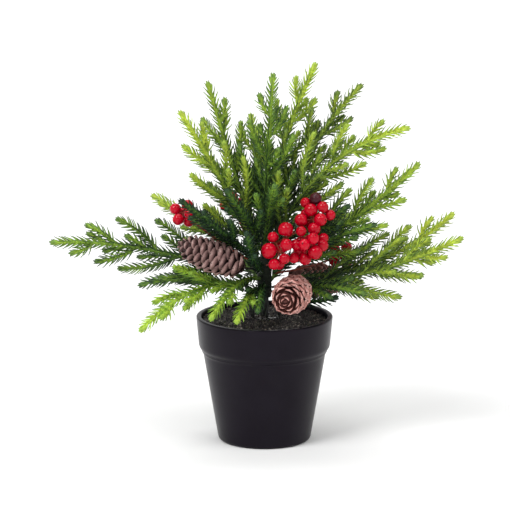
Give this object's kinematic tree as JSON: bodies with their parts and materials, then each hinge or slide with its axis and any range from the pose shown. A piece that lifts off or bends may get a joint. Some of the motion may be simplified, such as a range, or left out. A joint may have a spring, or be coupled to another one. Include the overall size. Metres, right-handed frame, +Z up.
{
  "type": "artificial tabletop tree",
  "caption": "Small artificial evergreen in a tapered pot: bendable moulded spruce sprigs, pine cones and red berry picks on wire stems.",
  "frame": {"origin": "centre of the pot's flat foot", "axes": "+Z up through the trunk, -Y towards the show side with the front cone, +X to the right as seen from the show side"},
  "size_m": [0.3004, 0.1832, 0.2755],
  "materials": {
    "pot": "satin black",
    "cement": "rough grey cement",
    "foam": "dark crumbly foam",
    "soil": "matt dark granules",
    "bark": "dark green-black plastic over wire",
    "tape": "matt dark green floral tape",
    "spruce": "moulded soft plastic, dark green to lime at the ends",
    "cone": "dry matt brown",
    "wire": "dark annealed wire",
    "berry_stem": "brown plastic over wire",
    "berry": "glossy red"
  },
  "bodies": {
    "pot_and_stems": {"pot": "pot", "ballast_cement": "cement", "foam_block": "foam", "soil_layer": "soil", "trunk": "bark", "tape_wrap": "tape", "stem_left": "bark", "stem_right": "bark", "stem_rear": "bark"},
    "sprig_left_long": {"sprig_left_long": "spruce"},
    "sprig_left_low": {"sprig_left_low": "spruce"},
    "sprig_left_rear": {"sprig_left_rear": "spruce"},
    "sprig_right_long": {"sprig_right_long": "spruce"},
    "sprig_right_low": {"sprig_right_low": "spruce"},
    "sprig_right_front": {"sprig_right_front": "spruce"},
    "sprig_right_droop": {"sprig_right_droop": "spruce"},
    "sprig_upper_left": {"sprig_upper_left": "spruce"},
    "sprig_left_rising": {"sprig_left_rising": "spruce"},
    "sprig_leader": {"sprig_leader": "spruce"},
    "sprig_over_cone": {"sprig_over_cone": "spruce"},
    "sprig_behind_berries": {"sprig_behind_berries": "spruce"},
    "sprig_crown_front": {"sprig_crown_front": "spruce"},
    "sprig_crown_rear": {"sprig_crown_rear": "spruce"},
    "sprig_upper_right": {"sprig_upper_right": "spruce"},
    "sprig_right_rising": {"sprig_right_rising": "spruce"},
    "sprig_right_upper": {"sprig_right_upper": "spruce"},
    "sprig_right_middle": {"sprig_right_middle": "spruce"},
    "sprig_right_inner": {"sprig_right_inner": "spruce"},
    "sprig_centre_left": {"sprig_centre_left": "spruce"},
    "sprig_centre_front": {"sprig_centre_front": "spruce"},
    "sprig_rear_right_high": {"sprig_rear_right_high": "spruce"},
    "sprig_front_left": {"sprig_front_left": "spruce"},
    "sprig_front_low": {"sprig_front_low": "spruce"},
    "sprig_front_short": {"sprig_front_short": "spruce"},
    "sprig_rear_middle": {"sprig_rear_middle": "spruce"},
    "sprig_rear_left": {"sprig_rear_left": "spruce"},
    "sprig_rear_right": {"sprig_rear_right": "spruce"},
    "sprig_rear_low": {"sprig_rear_low": "spruce"},
    "cone_left": {"cone_left": "cone", "cone_left_wire": "wire"},
    "cone_front": {"cone_front": "cone", "cone_front_wire": "wire"},
    "cone_rear": {"cone_rear": "cone", "cone_rear_wire": "wire"},
    "berries_front_left": {"berries_front_left_stem": "berry_stem", "berries_front_left_1": "berry", "berries_front_left_2": "berry", "berries_front_left_3": "berry", "berries_front_left_4": "berry", "berries_front_left_5": "berry", "berries_front_left_6": "berry", "berries_front_left_7": "berry", "berries_front_left_8": "berry", "berries_front_left_9": "berry"},
    "berries_front_right": {"berries_front_right": "berry"},
    "berries_front_top": {"berries_front_top": "berry"},
    "berries_left": {"berries_left": "berry"},
    "berries_right": {"berries_right": "berry"},
    "berries_rear": {"berries_rear": "berry"}
  },
  "joints": [
    {"name": "bend_left_long", "type": "hinge", "parent": "pot_and_stems", "child": "sprig_left_long", "pos_m": [-0.0166, -0.0034, 0.1226], "axis": [-0.0625, 0.998, 0], "range_deg": [-14, 2]},
    {"name": "bend_left_low", "type": "hinge", "parent": "pot_and_stems", "child": "sprig_left_low", "pos_m": [-0.0157, -0.0049, 0.116], "axis": [-0.5919, 0.806, 0], "range_deg": [-14, 12]},
    {"name": "bend_left_rear", "type": "hinge", "parent": "pot_and_stems", "child": "sprig_left_rear", "pos_m": [-0.0154, -0.0012, 0.112], "axis": [0.4176, 0.9087, 0], "range_deg": [-14, 12]},
    {"name": "bend_right_long", "type": "hinge", "parent": "pot_and_stems", "child": "sprig_right_long", "pos_m": [0.0194, -0.0008, 0.1222], "axis": [0.0238, -0.9997, 0], "range_deg": [-14, 12]},
    {"name": "bend_right_low", "type": "hinge", "parent": "pot_and_stems", "child": "sprig_right_low", "pos_m": [0.0183, -0.0014, 0.116], "axis": [-0.2119, -0.9773, 0], "range_deg": [-14, 6]},
    {"name": "bend_right_front", "type": "hinge", "parent": "pot_and_stems", "child": "sprig_right_front", "pos_m": [0.0163, -0.0018, 0.111], "axis": [-0.5726, -0.8199, 0], "range_deg": [-14, 12]},
    {"name": "bend_right_droop", "type": "hinge", "parent": "pot_and_stems", "child": "sprig_right_droop", "pos_m": [0.0156, 0.0004, 0.104], "axis": [-0.3225, -0.9466, 0], "range_deg": [-14, 12]},
    {"name": "bend_upper_left", "type": "hinge", "parent": "pot_and_stems", "child": "sprig_upper_left", "pos_m": [-0.004, 0.0032, 0.141], "axis": [0.1549, 0.9879, 0], "range_deg": [-2, 6]},
    {"name": "bend_left_rising", "type": "hinge", "parent": "pot_and_stems", "child": "sprig_left_rising", "pos_m": [-0.0049, -0.0014, 0.139], "axis": [-0.3795, 0.9252, 0], "range_deg": [-14, 6]},
    {"name": "bend_leader", "type": "hinge", "parent": "pot_and_stems", "child": "sprig_leader", "pos_m": [0, 0, 0.1489], "axis": [-0.8944, -0.4472, 0], "range_deg": [-2, 2]},
    {"name": "bend_over_cone", "type": "hinge", "parent": "pot_and_stems", "child": "sprig_over_cone", "pos_m": [-0.0064, -0.0034, 0.135], "axis": [-0.7442, 0.668, 0], "range_deg": [-2, 12]},
    {"name": "bend_behind_berries", "type": "hinge", "parent": "pot_and_stems", "child": "sprig_behind_berries", "pos_m": [0.0052, -0.0004, 0.1465], "axis": [-0.3955, -0.9185, 0], "range_deg": [-14, 10]},
    {"name": "bend_crown_front", "type": "hinge", "parent": "pot_and_stems", "child": "sprig_crown_front", "pos_m": [-0.0006, -0.0052, 0.142], "axis": [-0.9846, -0.1748, 0], "range_deg": [-14, 12]},
    {"name": "bend_crown_rear", "type": "hinge", "parent": "pot_and_stems", "child": "sprig_crown_rear", "pos_m": [-0.0006, 0.0053, 0.143], "axis": [0.9832, 0.1823, 0], "range_deg": [-14, 4]},
    {"name": "bend_upper_right", "type": "hinge", "parent": "pot_and_stems", "child": "sprig_upper_right", "pos_m": [0.0024, 0.0047, 0.144], "axis": [0.6709, -0.7416, 0], "range_deg": [-6, 2]},
    {"name": "bend_right_rising", "type": "hinge", "parent": "pot_and_stems", "child": "sprig_right_rising", "pos_m": [0.0051, 0.0012, 0.142], "axis": [0.2782, -0.9605, 0], "range_deg": [-4, 3]},
    {"name": "bend_right_upper", "type": "hinge", "parent": "pot_and_stems", "child": "sprig_right_upper", "pos_m": [0.0043, -0.003, 0.139], "axis": [-0.2101, -0.9777, 0], "range_deg": [-4, 6]},
    {"name": "bend_right_middle", "type": "hinge", "parent": "pot_and_stems", "child": "sprig_right_middle", "pos_m": [0.0075, 0.0004, 0.131], "axis": [-0.0425, -0.9991, 0], "range_deg": [-8, 12]},
    {"name": "bend_right_inner", "type": "hinge", "parent": "pot_and_stems", "child": "sprig_right_inner", "pos_m": [0.0064, -0.004, 0.126], "axis": [-0.2406, -0.9706, 0], "range_deg": [-14, 12]},
    {"name": "bend_centre_left", "type": "hinge", "parent": "pot_and_stems", "child": "sprig_centre_left", "pos_m": [-0.0033, -0.004, 0.1435], "axis": [-0.8603, 0.5097, 0], "range_deg": [-14, 12]},
    {"name": "bend_centre_front", "type": "hinge", "parent": "pot_and_stems", "child": "sprig_centre_front", "pos_m": [-0.0024, -0.0069, 0.127], "axis": [-0.9792, 0.2031, 0], "range_deg": [-14, 12]},
    {"name": "bend_rear_right_high", "type": "hinge", "parent": "pot_and_stems", "child": "sprig_rear_right_high", "pos_m": [0.0048, 0.0057, 0.132], "axis": [0.7, -0.7142, 0], "range_deg": [-8, 12]},
    {"name": "bend_front_left", "type": "hinge", "parent": "pot_and_stems", "child": "sprig_front_left", "pos_m": [-0.004, -0.0064, 0.122], "axis": [-0.8489, 0.5286, 0], "range_deg": [-14, 6]},
    {"name": "bend_front_low", "type": "hinge", "parent": "pot_and_stems", "child": "sprig_front_low", "pos_m": [-0.0034, -0.0066, 0.112], "axis": [-0.9438, 0.3305, 0], "range_deg": [-10, 6]},
    {"name": "bend_front_short", "type": "hinge", "parent": "pot_and_stems", "child": "sprig_front_short", "pos_m": [-0.0004, -0.0075, 0.117], "axis": [-0.9933, 0.1157, 0], "range_deg": [-6, 12]},
    {"name": "bend_rear_middle", "type": "hinge", "parent": "pot_and_stems", "child": "sprig_rear_middle", "pos_m": [0.0002, 0.0176, 0.1206], "axis": [0.9982, -0.0601, 0], "range_deg": [-14, 12]},
    {"name": "bend_rear_left", "type": "hinge", "parent": "pot_and_stems", "child": "sprig_rear_left", "pos_m": [-0.0022, 0.0168, 0.115], "axis": [0.6348, 0.7727, 0], "range_deg": [-14, 6]},
    {"name": "bend_rear_right", "type": "hinge", "parent": "pot_and_stems", "child": "sprig_rear_right", "pos_m": [0.0022, 0.0166, 0.113], "axis": [0.6152, -0.7883, 0], "range_deg": [-12, 10]},
    {"name": "bend_rear_low", "type": "hinge", "parent": "pot_and_stems", "child": "sprig_rear_low", "pos_m": [-0.0002, 0.0164, 0.108], "axis": [0.9759, 0.2182, 0], "range_deg": [-14, 12]},
    {"name": "bend_cone_left", "type": "hinge", "parent": "pot_and_stems", "child": "cone_left", "pos_m": [-0.0059, -0.0042, 0.13], "axis": [-0.6932, 0.7207, 0], "range_deg": [-6, 2]},
    {"name": "bend_cone_front", "type": "hinge", "parent": "pot_and_stems", "child": "cone_front", "pos_m": [0.0034, -0.0064, 0.112], "axis": [-0.907, -0.4211, 0], "range_deg": [-12, 10]},
    {"name": "bend_cone_rear", "type": "hinge", "parent": "pot_and_stems", "child": "cone_rear", "pos_m": [0.0057, 0.0044, 0.113], "axis": [0.6269, -0.7791, 0], "range_deg": [-8, 10]},
    {"name": "bend_berries_front_left", "type": "hinge", "parent": "pot_and_stems", "child": "berries_front_left", "pos_m": [0.0016, -0.007, 0.132], "axis": [-0.9692, -0.2462, 0], "range_deg": [-10, 2]},
    {"name": "bend_berries_front_right", "type": "hinge", "parent": "pot_and_stems", "child": "berries_front_right", "pos_m": [0.0046, -0.0054, 0.134], "axis": [-0.8032, -0.5957, 0], "range_deg": [-2, 2]},
    {"name": "bend_berries_front_top", "type": "hinge", "parent": "pot_and_stems", "child": "berries_front_top", "pos_m": [0.0028, -0.0042, 0.146], "axis": [-0.6397, -0.7686, 0], "range_deg": [-2, 10]},
    {"name": "bend_berries_left", "type": "hinge", "parent": "pot_and_stems", "child": "berries_left", "pos_m": [-0.007, 0.0004, 0.132], "axis": [-0.1033, 0.9947, 0], "range_deg": [-2, 10]},
    {"name": "bend_berries_right", "type": "hinge", "parent": "pot_and_stems", "child": "berries_right", "pos_m": [0.0064, 0.0028, 0.124], "axis": [0.3049, -0.9524, 0], "range_deg": [-10, 10]},
    {"name": "bend_berries_rear", "type": "hinge", "parent": "pot_and_stems", "child": "berries_rear", "pos_m": [-0.0035, 0.0062, 0.132], "axis": [0.9057, 0.4239, 0], "range_deg": [-8, 10]}
  ]
}
